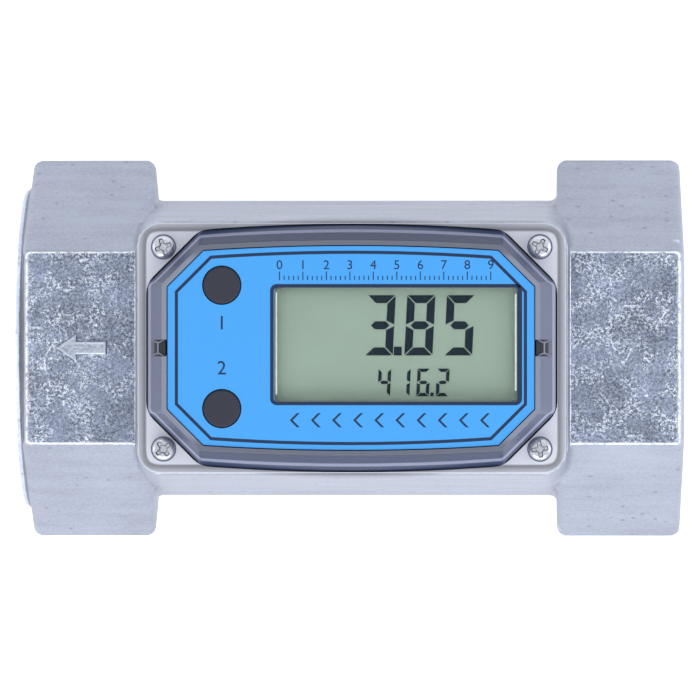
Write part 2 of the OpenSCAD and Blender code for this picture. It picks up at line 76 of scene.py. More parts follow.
# %% Places on the meter
MM = 0.001
BODY_X = 0.75 * MM  # middle of the casting, off the box centre by half its collar
AXIS_Z = 36 * MM
FLAT_Z = 72 * MM  # front flats of the ports
FLANGE_T = 2.4 * MM  # thickness of the cover's flange
COLLAR_H = 1.5 * MM  # height of the round collar on the outlet face
LABEL_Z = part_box("face_label")[1].z
LCD_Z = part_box("lcd_glass")[1].z
FLANGE_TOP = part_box("electronics_case")[0].z + FLANGE_T
COLLAR_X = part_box("body_casting")[0].x + COLLAR_H
print("top of label, glass and flange in mm:", [round(z / MM, 2) for z in (LABEL_Z, LCD_Z, FLANGE_TOP)])

# %% [markdown]
# The photograph was taken from far away through a long lens, a little to the right of the middle: the
# right port shows almost no side, and the left one shows a sliver of its round collar. So the camera
# stands 1.37 m above the axis, 33 mm to the right of its aim, and looks almost straight down.

# %% Camera
def add_object(name, data):
    """Puts a mesh, a lamp or a camera into the scene."""
    made = bpy.data.objects.new(name, data)
    bpy.context.scene.collection.objects.link(made)
    return made


view = bpy.data.cameras.new("product_camera")
camera = add_object("product_camera", view)
CAMERA_X, AIM_X, CAMERA_Y, ABOVE_AXIS = 31.6 * MM, -1.42 * MM, -0.44 * MM, 1.368
camera.location = (CAMERA_X + BODY_X, CAMERA_Y, AXIS_Z + ABOVE_AXIS)
aim = Vector((AIM_X + BODY_X, CAMERA_Y, AXIS_Z)) - camera.location
right = Vector((0, 1, 0)).cross(-aim).normalized()
up = (-aim).cross(right).normalized()
turn = Matrix((right, up, -aim.normalized())).transposed().to_4x4()
camera.matrix_world = Matrix.Translation(camera.location) @ turn
view.lens = 318
view.sensor_width = 36
view.clip_start = 0.1
view.clip_end = 20
bpy.context.scene.camera = camera
print("camera at", [round(v, 4) for v in camera.location], "lens", view.lens)

# %% [markdown]
# Every finish below is a tree of shader nodes. Two helpers keep a tree short to write. One adds a node
# and connects its inputs. The other is a wire: one value that runs between nodes, on which the usual
# signs work, so that a sum in a shader reads like a sum.

# %% Helpers for shader nodes
class Wire:
    """One value in a shader tree. Plus, minus and the other signs each make a Math node."""

    def __init__(self, socket):
        self.tree, self.socket = socket.id_data, socket

    def math(self, operation, *values):
        made = add_node(self.tree, "ShaderNodeMath", dict(enumerate(values)), operation=operation)
        return Wire(made.outputs[0])

    def __add__(self, other):
        return self.math("ADD", self, other)

    def __sub__(self, other):
        return self.math("SUBTRACT", self, other)

    def __rsub__(self, other):
        return self.math("SUBTRACT", other, self)

    def __mul__(self, other):
        return self.math("MULTIPLY", self, other)

    def __truediv__(self, other):
        return self.math("DIVIDE", self, other)

    def __abs__(self):
        return self.math("ABSOLUTE", self)

    def most(self, other):
        """The larger of two values."""
        return self.math("MAXIMUM", self, other)

    def clamped(self):
        """The same value, kept between 0 and 1."""
        self.socket.node.use_clamp = True
        return self


def clear_tree(owner):
    """The shader tree of a world or a material, emptied."""
    owner.use_nodes = True
    owner.node_tree.nodes.clear()
    return owner.node_tree


def connect(node, inputs):
    """Sets inputs of a node. A value may be a number, a colour, a wire or a socket."""
    for name, value in inputs.items():
        if isinstance(value, Wire):
            value = value.socket
        if isinstance(value, bpy.types.NodeSocket):
            node.id_data.links.new(value, node.inputs[name])
        else:
            node.inputs[name].default_value = value


def add_node(tree, kind, inputs=None, **settings):
    """Adds a node, such as ShaderNodeMath, with its settings and inputs."""
    made = tree.nodes.new(kind)
    for name, value in settings.items():
        setattr(made, name, value)
    connect(made, inputs or {})
    return made


def parts(vector):
    """The x, y and z of a vector."""
    return [Wire(out) for out in add_node(vector.id_data, "ShaderNodeSeparateXYZ", {0: vector}).outputs]


def ramp(wire, low, high, to_low=0.0, to_high=1.0):
    """A value between low and high becomes a smooth step between to_low and to_high."""
    made = add_node(wire.tree, "ShaderNodeMapRange", {
        "Value": wire, "From Min": low, "From Max": high, "To Min": to_low, "To Max": to_high},
        interpolation_type="SMOOTHSTEP")
    return Wire(made.outputs[0])


print("signs on a wire: + - * / abs, and most, clamped")

# %% [markdown]
# Clear plastic and bare metal show what is around them, so what they and the camera see is plain white.
# The sky that lights the object is weaker, and darker towards the horizon, so that upright walls keep
# their depth. Four broad lamps stand round the object. The near one is the strongest, because in the
# photograph the slanting faces towards the lower edge are the brightest.

# %% World and lamps
def seen_directly(tree):
    """1 for rays from the camera, from a mirror-like surface or through clear plastic, and 0 for light."""
    path = add_node(tree, "ShaderNodeLightPath").outputs
    direct, through, mirrored = (Wire(path[f"Is {kind} Ray"]) for kind in ("Camera", "Transmission", "Glossy"))
    return direct.most(through).most(mirrored)


world = bpy.data.worlds.new("white_studio")
bpy.context.scene.world = world
tree = clear_tree(world)
height = parts(add_node(tree, "ShaderNodeTexCoord").outputs["Generated"])[2]
level = ramp(height, 0.02, 0.55, 0.30, 0.78)
light_sky = add_node(tree, "ShaderNodeBackground", {"Color": (0.95, 0.97, 1.0, 1), "Strength": level})
seen_sky = add_node(tree, "ShaderNodeBackground", {"Color": (1, 1, 1, 1), "Strength": 1.0})
sky = add_node(tree, "ShaderNodeMixShader", {0: seen_directly(tree), 1: light_sky.outputs[0], 2: seen_sky.outputs[0]})
add_node(tree, "ShaderNodeOutputWorld", {"Surface": sky.outputs[0]})


def add_lamp(name, place, size, power):
    """A broad lamp that looks at the middle of the object."""
    data = bpy.data.lights.new(name, "AREA")
    data.shape = "RECTANGLE"
    data.size, data.size_y = size
    data.energy = power
    lamp = add_object(name, data)
    way = Vector((0, 0, 0.05)) - Vector(place)
    lamp.matrix_world = Matrix.Translation(place) @ way.to_track_quat("-Z", "Y").to_matrix().to_4x4()
    print(name, power, "W")


add_lamp("near_softbox", (0.0, -0.75, 0.5), (1.2, 0.5), 4.6)
add_lamp("far_softbox", (0.0, 0.75, 0.55), (1.2, 0.5), 1.0)
add_lamp("left_softbox", (-0.9, 0.0, 0.28), (0.4, 0.7), 0.9)
add_lamp("right_softbox", (0.9, 0.0, 0.34), (0.4, 0.7), 2.0)

# %% [markdown]
# The floor is pale and white to the camera, so that the object stands on plain paper. Its own light is
# weak enough that a soft shadow stays where the body touches it.

# %% Floor
def new_piece(name, verts, faces, smooth=True, weld=0.0):
    """Makes a mesh object from plain lists, in metres, with its faces turned outwards.

    Points that are nearer to each other than weld become one.
    """
    mesh = bpy.data.meshes.new(name)
    mesh.from_pydata([tuple(v) for v in verts], [], faces)
    work = bmesh.new()
    work.from_mesh(mesh)
    if weld:
        bmesh.ops.remove_doubles(work, verts=work.verts, dist=weld)
    bmesh.ops.recalc_face_normals(work, faces=work.faces)
    work.to_mesh(mesh)
    work.free()
    for face in mesh.polygons:
        face.use_smooth = smooth
    return add_object(name, mesh)


def box_of(x0, y0, x1, y1):
    """The four corners of a flat box."""
    return [(x0, y0), (x1, y0), (x1, y1), (x0, y1)]


FLOOR_HALF, FLOOR_Z = 3, -0.02 * MM  # a hair below the body, so that the two don't flicker
floor_box = box_of(-FLOOR_HALF, -FLOOR_HALF, FLOOR_HALF, FLOOR_HALF)
floor = new_piece("paper_floor", [(x, y, FLOOR_Z) for x, y in floor_box], [(0, 1, 2, 3)], False)
paper = bpy.data.materials.new("white_paper")
tree = clear_tree(paper)
lit = add_node(tree, "ShaderNodeBsdfDiffuse", {"Color": (0.85, 0.85, 0.86, 1)})
glow = add_node(tree, "ShaderNodeEmission", {"Color": (1, 1, 1, 1), "Strength": 0.55})
dark = add_node(tree, "ShaderNodeEmission", {"Strength": 0.0})
shown = add_node(tree, "ShaderNodeMixShader", {0: seen_directly(tree), 1: dark.outputs[0], 2: glow.outputs[0]})
both = add_node(tree, "ShaderNodeAddShader", {0: lit.outputs[0], 1: shown.outputs[0]})
add_node(tree, "ShaderNodeOutputMaterial", {"Surface": both.outputs[0]})
floor.data.materials.append(paper)

# %% [markdown]
# Metal, plastic and rubber all need fine irregularity, at the scale that each one really has. Each
# effect is one node group, built once. A group only puts out colours, masks and heights, and each
# material feeds them to its own Principled shader.

# %% Helpers for node groups
MID_GREY = (0.6, 0.6, 0.6, 1)


def new_group(name, inputs):
    """A shader group with named inputs: a colour where the value is one, and else a number."""
    made = bpy.data.node_groups.new(name, "ShaderNodeTree")
    for label, value in inputs.items():
        kind = "NodeSocketColor" if isinstance(value, tuple) else "NodeSocketFloat"
        made.interface.new_socket(label, in_out="INPUT", socket_type=kind).default_value = value
    inside = made.nodes.new("NodeGroupInput").outputs
    return made, {label: Wire(inside[label]) for label in inputs}


def close_group(group, results):
    """Gives a group its named outputs. Colour is a colour, and all others are numbers."""
    for label in results:
        kind = "NodeSocketColor" if label == "Colour" else "NodeSocketFloat"
        group.interface.new_socket(label, in_out="OUTPUT", socket_type=kind)
    connect(group.nodes.new("NodeGroupOutput"), results)
    print(group.name + ":", len(group.nodes), "nodes")
    return group


def place_of(tree):
    return add_node(tree, "ShaderNodeTexCoord").outputs["Object"]


def xyz_of(tree):
    """The place of a point on the surface."""
    return parts(place_of(tree))


def facing_of(tree):
    """The direction of the surface there."""
    return parts(add_node(tree, "ShaderNodeNewGeometry").outputs["Normal"])


def noise(tree, scale, detail=3.0, rough=0.5, stretch=None):
    place = place_of(tree)
    if stretch:
        place = add_node(tree, "ShaderNodeMapping", {"Vector": place, "Scale": stretch}).outputs[0]
    made = add_node(tree, "ShaderNodeTexNoise", {"Vector": place, "Scale": scale, "Detail": detail, "Roughness": rough})
    return Wire(made.outputs[0])


def cells(tree, scale):
    """Distance to the middle of the nearest cell, and a random number for each cell."""
    made = add_node(tree, "ShaderNodeTexVoronoi", {"Vector": place_of(tree), "Scale": scale, "Randomness": 1.0})
    kind = add_node(tree, "ShaderNodeSeparateColor", {0: made.outputs["Color"]})
    return Wire(made.outputs["Distance"]), Wire(kind.outputs[0])


def scaled(colour, level):
    """A colour made darker or brighter by a wire."""
    made = add_node(level.tree, "ShaderNodeVectorMath", {0: colour, "Scale": level}, operation="SCALE")
    return Wire(made.outputs[0])


def tinted(colour, factor, dark, light):
    """Factor 0 multiplies a colour by dark, and 1 by light."""
    return scaled(colour, factor * (light - dark) + dark)


def mixed(factor, a, b, kind="RGBA"):
    """a where the factor is 0, and b where it is 1."""
    made = add_node(factor.tree, "ShaderNodeMix", data_type=kind)
    for socket, wire in zip([s for s in made.inputs if s.enabled], (factor, a, b)):
        factor.tree.links.new(wire.socket, socket)
    return Wire([s for s in made.outputs if s.enabled][0])


print("helpers for groups ready")

# %% [markdown]
# The cast skin: die casting leaves a satin skin with a fine grain, some pits where gas was trapped, and
# faint streaks where the metal flowed. The grain is noise at about half a millimetre, the pits are the
# centres of sparse Voronoi cells, and slow noise changes the tone over centimetres.

# %% Group: cast skin
tree, at = new_group("Cast skin", {"Colour": MID_GREY, "Grain": 1.0, "Pits": 1.0})
grain = noise(tree, 1500, 5, 0.6)
clouds = noise(tree, 55, 3, 0.55)
streaks = noise(tree, 240, 3, 0.5, (0.16, 1, 1))
distance, kind = cells(tree, 420)
pits = ramp(distance, 0.28, 0.10) * ramp(kind, 0.72, 0.80) * at["Pits"]
tone = ramp(grain * 0.5 + clouds * 0.5 + streaks * 0.35, 0.38, 0.98)
tone = (tone - pits * 0.8).clamped()
cast_group = close_group(tree, {
    "Colour": tinted(at["Colour"], tone, 0.78, 1.19),
    "Roughness": ramp(clouds, 0.3, 0.7, 0.42, 0.54),
    "Height": grain * at["Grain"] - pits * 2.5})

# %% [markdown]
# The two front flats are different: they were ground after casting, and show a dense sparkle. It is
# built in layers: a fine grain, short winding strokes and shades where a noise crosses its middle, a few
# long scars, and sparse bright chips. The light strokes, scars and chips are painted glints on the ground
# scratches, and a painted highlight runs along the edge of each flat. The group also gives a mask of where
# the ground faces are, from the height and the direction of the surface.

# %% Group: ground flats
def crests(tree, scale, width, stretch=None):
    """Thin winding lines where a noise crosses its middle."""
    return ramp(abs(noise(tree, scale, 2, 0.6, stretch) - 0.5), width, 0.0)


tree, at = new_group("Ground flats", {
    "Colour": MID_GREY, "Light": (0.9, 0.9, 0.9, 1), "Level": FLAT_Z, "Sparkle": 1.0})
up_z = facing_of(tree)[2]
off = abs(xyz_of(tree)[2] - at["Level"])
off = off + noise(tree, 420, 4, 0.6) * (0.2 * MM)
mask = ramp(off, 0.47 * MM, 0.34 * MM) * ramp(up_z, 0.72, 0.86)

fine = noise(tree, 3700, 2, 0.7)
patches = noise(tree, 120, 4, 0.65)
areas = ramp(noise(tree, 260, 3, 0.65), 0.42, 0.60)
strokes = crests(tree, 3200, 0.13) * ramp(noise(tree, 1500, 2, 0.6), 0.46, 0.57)
strokes = strokes * (areas * 0.7 + 0.3)
shade = crests(tree, 2100, 0.10) * ramp(noise(tree, 900, 2, 0.6), 0.46, 0.58)
scars = crests(tree, 26, 0.004, (1.6, 0.9, 1)) * ramp(noise(tree, 520, 3, 0.75), 0.50, 0.60)
distance, kind = cells(tree, 640)
chips = ramp(distance, 0.36, 0.14) * ramp(kind, 0.90, 0.94) * ramp(fine, 0.40, 0.54)

body = (fine - 0.5) * (areas * 1.9 + 1.9) + 0.47 + (patches - 0.5) * 1.3
body = (body - shade * 0.28).clamped()
# painted highlight along the edge of each flat, where the surface turns away from level
rim = ramp(up_z, 0.997, 0.93) * ramp(noise(tree, 900, 3, 0.6), 0.36, 0.56, 0.35, 1.0)
lights = strokes.most(scars).most(chips).most(rim).clamped()
ground_group = close_group(tree, {
    "Colour": mixed(lights * 0.84, tinted(at["Colour"], body, 0.30, 1.28), tinted(at["Light"], fine, 0.9, 1.4)),
    "Mask": mask,
    "Roughness": ramp(fine, 0.3, 0.7, 0.60, 0.40),
    "Height": (body * 0.6 + lights) * at["Sparkle"]})

# %% [markdown]
# Edges of a casting are rubbed bright, and here its ridges also get a painted highlight and its inner corners
# a painted shade. Pointiness is high on ridges and low in corners, if the mesh is dense there, as this casting
# will be. Two places need more painted shade: the root of the round collar is a dark line, with a painted
# highlight on the collar beyond it, and little light reaches the boss below the cover's long sides.

# %% Group: rubbed edges
FOOT_Y, FOOT_BOW, FOOT_HALF = 26.35, 1.3, 32.3  # foot of the cover's long side, in mm: its middle, bow, half length


def foot_shade(x, y):
    """1 at the foot of the cover's long sides, and 0 beyond a width that shrinks towards their ends."""
    along = x - BODY_X
    square = along * along
    foot = FOOT_Y * MM - square * (FOOT_BOW / FOOT_HALF ** 2 / MM)
    width = (2.1 * MM - square * 1.9).most(0.02 * MM)
    near = (1.0 - (abs(y) - foot) / width).clamped()
    return near * ramp(square, (33 * MM) ** 2, (29 * MM) ** 2)


tree, at = new_group("Rubbed edges", {"Colour": MID_GREY, "Ridge": 0.25, "Corner": 0.2})
sharp = Wire(add_node(tree, "ShaderNodeNewGeometry").outputs["Pointiness"])
broken = noise(tree, 260, 4, 0.65)
# painted highlight on ridges, over edges that are also rubbed bright
ridge = ramp(sharp, 0.515, 0.56) * ramp(broken, 0.30, 0.62, 0.35, 1.0)
# painted shade in inner corners
corner = ramp(sharp, 0.49, 0.44)

x, y, z = xyz_of(tree)
wander = x + broken * (0.4 * MM)
beside = ramp(abs(y), 20.0 * MM, 21.4 * MM, 1.0, 0.0)
# painted shade along the root of the collar
root = ramp(wander - beside * (0.5 * MM), COLLAR_X + 0.1 * MM, COLLAR_X + 0.4 * MM, 1.0, 0.0)
root = root * ramp(wander, COLLAR_X - 0.5 * MM, COLLAR_X - 0.25 * MM, -1.0, 0.95)
root = root * (beside * 0.35 + 0.65)

level = ridge * at["Ridge"] + 1.0 - corner.most(root) * at["Corner"]
# painted highlight on the collar just beyond its root
level = level + (root * -1.0).most(0.0) * 0.9
near_foot = foot_shade(x, y) * ramp(z, FLANGE_TOP - 14 * MM, FLANGE_TOP - 5 * MM)
edge_group = close_group(tree, {"Colour": scaled(at["Colour"], level * (1.0 - near_foot * 0.7))})

# %% [markdown]
# Moulded plastic, rubber and machined parts are much more even. They share one group: a fine grain for
# the surface and a slow drift of tone, both with their own strength.

# %% Group: moulded grain
tree, at = new_group("Moulded grain", {
    "Colour": MID_GREY, "Scale": 1500.0, "Drift": 0.1, "Roughness": 0.5})
fine = noise(tree, at["Scale"])
slow = noise(tree, 90)
grain_group = close_group(tree, {
    "Colour": scaled(at["Colour"], (fine + slow - 1.0) * at["Drift"] + 1.0),
    "Roughness": at["Roughness"] + (slow - 0.5) * 0.25,
    "Height": fine})

# %% [markdown]
# Most finishes are then one call: a colour as it looks in the photograph, a roughness, and the scale of
# the grain. Colours are written as screen values and turned into the linear ones that Blender works in.

# %% Plain finishes
FINISHES = {}


def colour_of(r, g, b):
    """A screen colour, 0 to 255, as a linear one."""
    return (*((c / 12.92 if c <= 0.04045 else ((c + 0.055) / 1.055) ** 2.4) for c in (r / 255, g / 255, b / 255)), 1)


def start_finish(name, metallic=0.0, ior=1.5):
    FINISHES[name] = bpy.data.materials.new(name)
    tree = clear_tree(FINISHES[name])
    shader = add_node(tree, "ShaderNodeBsdfPrincipled", {"Metallic": metallic, "IOR": ior})
    add_node(tree, "ShaderNodeOutputMaterial", {"Surface": shader.outputs[0]})
    return tree, shader


def use_group(tree, group, inputs):
    made = add_node(tree, "ShaderNodeGroup", inputs, node_tree=group)
    return {out.name: Wire(out) for out in made.outputs}


def moulded(name, rgb, roughness, metallic=0.0, scale=1500.0, drift=0.12, depth=0.004, coat=0.0, specular=0.5):
    """A finish with the moulded grain. The depth of its bumps is in mm."""
    tree, shader = start_finish(name, metallic)
    grain = use_group(tree, grain_group, {
        "Colour": colour_of(*rgb), "Scale": scale, "Drift": drift, "Roughness": roughness})
    bump = add_node(tree, "ShaderNodeBump", {"Strength": 0.5, "Distance": depth * MM, "Height": grain["Height"]})
    connect(shader, {"Base Color": grain["Colour"], "Roughness": grain["Roughness"], "Normal": bump.outputs[0],
                     "Coat Weight": coat, "Specular IOR Level": specular})


moulded("seal_rubber", (38, 39, 44), 0.7, scale=2500)
moulded("support_plastic", (44, 45, 50), 0.5, scale=900)
moulded("rotor_plastic", (226, 222, 205), 0.42, scale=900, drift=0.08)
moulded("shaft_steel", (190, 192, 198), 0.28, 1.0, 3000, 0.06)
moulded("bush_ceramic", (236, 232, 224), 0.22, scale=2000, drift=0.05)
moulded("magnet_ferrite", (62, 62, 66), 0.6, 0.2, 2500)
moulded("ring_steel", (168, 170, 176), 0.35, 1.0, 2500, 0.1)
moulded("dark_plastic", (52, 54, 62), 0.5, scale=1300)
# finish for painted shade lines
moulded("seam_painted_shade", (22, 24, 32), 0.8, scale=1300, specular=0.1)
# finish for the painted glints at the window's ends
moulded("window_edge_glint", (214, 222, 212), 0.4, scale=900, drift=0.5)
moulded("strip_rubber", (150, 140, 146), 0.6, scale=6000, drift=0.5)
moulded("board_laminate", (36, 118, 68), 0.35, scale=2400, drift=0.2, coat=0.3)
moulded("chip_epoxy", (38, 38, 40), 0.55, scale=3500)
moulded("switch_metal", (190, 190, 194), 0.34, 1.0, 2200)
moulded("cell_jacket", (196, 158, 78), 0.3, scale=700, coat=0.5)
moulded("contact_metal", (214, 212, 206), 0.25, 1.0, 2400)
moulded("bobbin_plastic", (224, 218, 196), 0.5, scale=1200)
moulded("copper_wire", (196, 120, 70), 0.3, 1.0, 5000, 0.4)
print("plain finishes:", len(FINISHES))

# %% [markdown]
# The casting's own finish joins three groups: cast skin everywhere, the ground sparkle where its mask
# says so, and rubbed edges with painted highlight and shade over both. The metal is bright but satin, so it
# is nearly fully metallic with a roughness near a half. The flow arrow is raised from a ground flat: its
# skin is a lighter copy as painted light, darkens towards its foot as painted shade, and takes the sparkle
# only in places.

# %% Cast aluminium
def cast_finish(name, skin_rgb, raised=False):
    tree, shader = start_finish(name, 0.8)
    skin = use_group(tree, cast_group, {"Colour": colour_of(*skin_rgb)})
    ground = use_group(tree, ground_group, {"Colour": colour_of(149, 161, 187), "Light": colour_of(238, 243, 252)})
    mask = ground["Mask"]
    if raised:
        z = xyz_of(tree)[2]
        mask = ramp(noise(tree, 700, 3, 0.6), 0.46, 0.58) * 0.55
        # painted shade: the arrow's skin darkens towards its foot
        skin["Colour"] = tinted(skin["Colour"], ramp(z, FLAT_Z + 0.05 * MM, FLAT_Z + 0.34 * MM), 0.22, 1.0)
    colour = mixed(mask, skin["Colour"], ground["Colour"])
    edges = use_group(tree, edge_group, {"Colour": colour, "Ridge": 0.45, "Corner": 0.6})
    rough = mixed(mask, skin["Roughness"], ground["Roughness"], "FLOAT")
    height = mixed(mask, skin["Height"], ground["Height"], "FLOAT")
    bump = add_node(tree, "ShaderNodeBump", {"Strength": 0.7, "Distance": 0.05 * MM, "Height": height})
    connect(shader, {"Base Color": edges["Colour"], "Roughness": rough, "Normal": bump.outputs[0]})
    print(name + ":", len(tree.nodes), "nodes")


cast_finish("cast_aluminium", (161, 167, 183))
# a lighter copy of the skin, as painted light on the raised arrow
cast_finish("cast_relief_lit_and_shaded", (186, 195, 209), True)

# %% [markdown]
# A smoky cover isn't one tone all over, and here its zones are painted light and shade on one clear
# plastic. Its long walls get a dark, blue painted shade, for the look of the case seen along them, its cut
# corners are lighter, and each wall has a painted highlight near its foot. The flange gets a painted shade
# along its border and near the foot of the walls, and the rim is darker along the long sides. Each of
# these zones is one small group.

# %% Groups: zones of the clear cover
tree, at = new_group("Cover wall", {"Colour": MID_GREY})
facing = abs(facing_of(tree)[1])
z = xyz_of(tree)[2]
# painted shade, with a blue cast, on walls that face the long sides
darker = ramp(facing, 0.5, 0.85)
low = z - ramp(facing, 0.3, 0.8) * (2.0 * MM)
# painted highlight near the foot of each wall
foot = ramp(low, FLANGE_TOP + 2.0 * MM, FLANGE_TOP + 1.5 * MM) * ramp(low, FLANGE_TOP, FLANGE_TOP + 0.5 * MM)
wall_light_and_shade = scaled(at["Colour"], 1.0 - darker * 0.77 + foot * 0.95)
blue = scaled((-0.03, -0.012, 0.043), darker)
wall_group = close_group(tree, {
    "Colour": add_node(tree, "ShaderNodeVectorMath", {0: wall_light_and_shade, 1: blue}, operation="ADD").outputs[0]})

FLANGE_HALF = (45.8 * MM, 26.75 * MM)
tree, at = new_group("Cover flange", {"Colour": MID_GREY})
x, y, z = xyz_of(tree)
margin = x.math("SMOOTH_MIN", FLANGE_HALF[0] - abs(x - BODY_X), FLANGE_HALF[1] - abs(y), 4.5 * MM)
# painted shade along the flange's border, and near the foot of the walls
border_shade = ramp(margin, 2.0 * MM, 1.5 * MM) * ramp(margin, 0.1 * MM, 1.6 * MM, 0.45, 1.0)
border_shade = border_shade.most(foot_shade(x, y))
flange_group = close_group(tree, {"Colour": tinted(at["Colour"], border_shade, 1.0, 0.34)})

tree, at = new_group("Cover rim", {"Colour": MID_GREY})
long_rim = ramp(abs(xyz_of(tree)[1]), 18.5 * MM, 21.0 * MM)
rim_group = close_group(tree, {"Colour": tinted(at["Colour"], long_rim, 1.0, 0.6)})

# %% [markdown]
# The cover is moulded in clear plastic with a grey, smoky tint. Light has to reach what it covers, so
# rays from lamps pass straight through: the Light Path node swaps in a Transparent shader for them. The
# window bends light much less than the rest, or its shine would veil the display.

# %% Clear cover plastic
def clear_plastic(name, rgb, roughness, passing, clear=1.0, shine=0.5, zone=None, ripple=0.01, ior=1.49):
    """A clear finish. Passing is the tint of lamp light, and ripple the depth of its waves in mm."""
    tree, shader = start_finish(name, ior=ior)
    grain = use_group(tree, grain_group, {
        "Colour": colour_of(*rgb), "Scale": 700.0, "Drift": 0.05, "Roughness": roughness})
    bump = add_node(tree, "ShaderNodeBump", {"Strength": 0.3, "Distance": ripple * MM, "Height": grain["Height"]})
    shown = use_group(tree, zone, {"Colour": grain["Colour"]})["Colour"] if zone else grain["Colour"]
    connect(shader, {"Base Color": shown, "Normal": bump.outputs[0], "Roughness": roughness,
                     "Transmission Weight": clear, "Specular IOR Level": shine})
    lamp_ray = add_node(tree, "ShaderNodeLightPath").outputs["Is Shadow Ray"]
    lamp_way = add_node(tree, "ShaderNodeBsdfTransparent", {"Color": (*passing, 1)})
    swap = add_node(tree, "ShaderNodeMixShader", {0: lamp_ray, 1: shader.outputs[0], 2: lamp_way.outputs[0]})
    connect(tree.nodes["Material Output"], {"Surface": swap.outputs[0]})


clear_plastic("clear_case", (246, 247, 252), 0.03, (0.94, 0.94, 0.96), shine=0.04, ripple=0.0015, ior=1.15)
clear_plastic("clear_flange", (228, 231, 243), 0.12, (0.90, 0.91, 0.95), 0.15, 0.3, flange_group)
# the walls' finish is a darker copy of the clear plastic, as painted shade
clear_plastic("clear_wall", (143, 148, 170), 0.22, (0.5, 0.51, 0.56), 0.28, 0.05, wall_group)
clear_plastic("clear_rim", (150, 156, 175), 0.2, (0.6, 0.61, 0.66), 0.2, 0.2, rim_group)
# a near-white finish for the painted highlight on the flange's outer edge
clear_plastic("clear_edge_highlight", (250, 252, 255), 0.1, (0.9, 0.91, 0.94), 0.1, 0.6)
print("clear cover ready")

# %% [markdown]
# The label is a printed film: one even blue with a soft gloss. The rubber keys are nearly black and
# matt. The liquid crystal cell is a grey green with a faint texture under smooth glass. The walls of the
# screws' cross get a darker finish than their heads, as painted shade.

# %% Label, keys, display and screws
moulded("blue_label", (67, 165, 243), 0.42, scale=2600, drift=0.05, depth=0.002)
moulded("print_ink", (38, 54, 86), 0.5, scale=2600, drift=0.1, specular=0.2)
moulded("key_rubber", (47, 49, 62), 0.6, scale=3200, drift=0.2, depth=0.01, specular=0.35)
moulded("lcd_glass", (140, 159, 139), 0.4, scale=3400, drift=0.05, depth=0.001, specular=0.2)
moulded("lcd_segment", (16, 32, 40), 0.6, scale=3400, drift=0.1, specular=0.1)
moulded("recess_painted_shade", (96, 100, 112), 0.4, 1.0, 1800, 0.4, 0.02)
moulded("screw_steel", (194, 198, 208), 0.3, 1.0, 1800, 0.35, 0.03)
print("finishes:", len(FINISHES))

# %% [markdown]
# Every CAD node gets the finish that the record names for it. Nodes that need no finer shape stay as
# they are: most of them sit inside the meter.

# %% Dress the CAD nodes
for part in frame["record"]["subparts"]:
    mesh = nodes[part["node"]].data
    mesh.materials.clear()
    mesh.materials.append(FINISHES[part["material_slot"]])

# %% [markdown]
# The casting. Its CAD solid has the right size and every bore, but its edges are sharp, and a die cast
# body has none: edges are round and inner corners are filled. A voxel remesh turns the solid into an even
# skin, and a few passes of smoothing round everything by about the size of a voxel.

# %% Cast body
def copy_of(node, name, body):
    """A welded copy of a CAD node that stands for it."""
    source = nodes[node].data
    verts, faces = [v.co for v in source.vertices], [tuple(p.vertices) for p in source.polygons]
    made = new_piece(name, verts, faces, weld=0.002 * MM)
    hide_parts(node)
    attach(made, body)
    return made


def modify(piece, kind, **settings):
    """Adds a modifier, such as BEVEL, with its settings."""
    made = piece.modifiers.new(kind, kind)
    for name, value in settings.items():
        setattr(made, name, value)


def settle(piece):
    """Applies the modifiers of a piece."""
    deps = bpy.context.evaluated_depsgraph_get()
    mesh = bpy.data.meshes.new_from_object(piece.evaluated_get(deps))
    mesh.name = piece.name
    piece.modifiers.clear()
    piece.data = mesh


def finish_with(piece, slot, finish=None):
    """Gives a piece its look: the finish named by slot, or the one named by finish where that is given."""
    piece.data.materials.clear()
    piece.data.materials.append(FINISHES[finish or slot])


cast_body = copy_of("body_casting", "cast_body", "meter")
modify(cast_body, "REMESH", mode="VOXEL", voxel_size=0.5 * MM, use_smooth_shade=True)
modify(cast_body, "SMOOTH", factor=0.5, iterations=4)
settle(cast_body)
print("skin:", len(cast_body.data.vertices), "points")

# %% [markdown]
# Smoothing also shrinks the bores, and those must stay true, so their points are put back on their
# radius. Where the ground flats meet the boss, and where the solid has its own arrow, the flats are made
# level again. The drawn arrow and the threads then fit. Flat triangles are thinned out at the end.

# %% Put the bores and flats back in place
BORES = ((0, 9.9, 24.4), (11.2, 24.0, 25.0), (26.0, 44.8, 25.0), (46.2, 69.2, 29.8))  # from, to, radius in mm

points = np.empty(len(cast_body.data.vertices) * 3, dtype=np.float32)
cast_body.data.vertices.foreach_get("co", points)
points = points.reshape(-1, 3)
middle = points[:, 0] - BODY_X
along = np.abs(middle)
side, rise = points[:, 1], points[:, 2] - AXIS_Z
radius = np.hypot(side, rise)
for start, end, bore in BORES:
    near = (along > start * MM) & (along < end * MM) & (np.abs(radius - bore * MM) < 0.4 * MM)
    points[near, 1] = side[near] * bore * MM / radius[near]
    points[near, 2] = AXIS_Z + rise[near] * bore * MM / radius[near]
    print("bore", bore, "points", int(near.sum()))
high = points[:, 2]
foot = (high > FLAT_Z) & (high < FLAT_Z + 1.2 * MM) & (along > 46.7 * MM) & (along < 48.6 * MM)
points[foot, 2] = FLAT_Z + (points[foot, 2] - FLAT_Z) * 0.1
own_arrow = (high > FLAT_Z - 0.2 * MM) & (middle > -65 * MM) & (middle < -52 * MM) & (np.abs(side) < 3.9 * MM)
points[own_arrow, 2] = FLAT_Z
cast_body.data.vertices.foreach_set("co", points.ravel())
modify(cast_body, "DECIMATE", ratio=0.3)
settle(cast_body)
finish_with(cast_body, "cast_aluminium")
print("cast body:", len(cast_body.data.polygons), "faces")

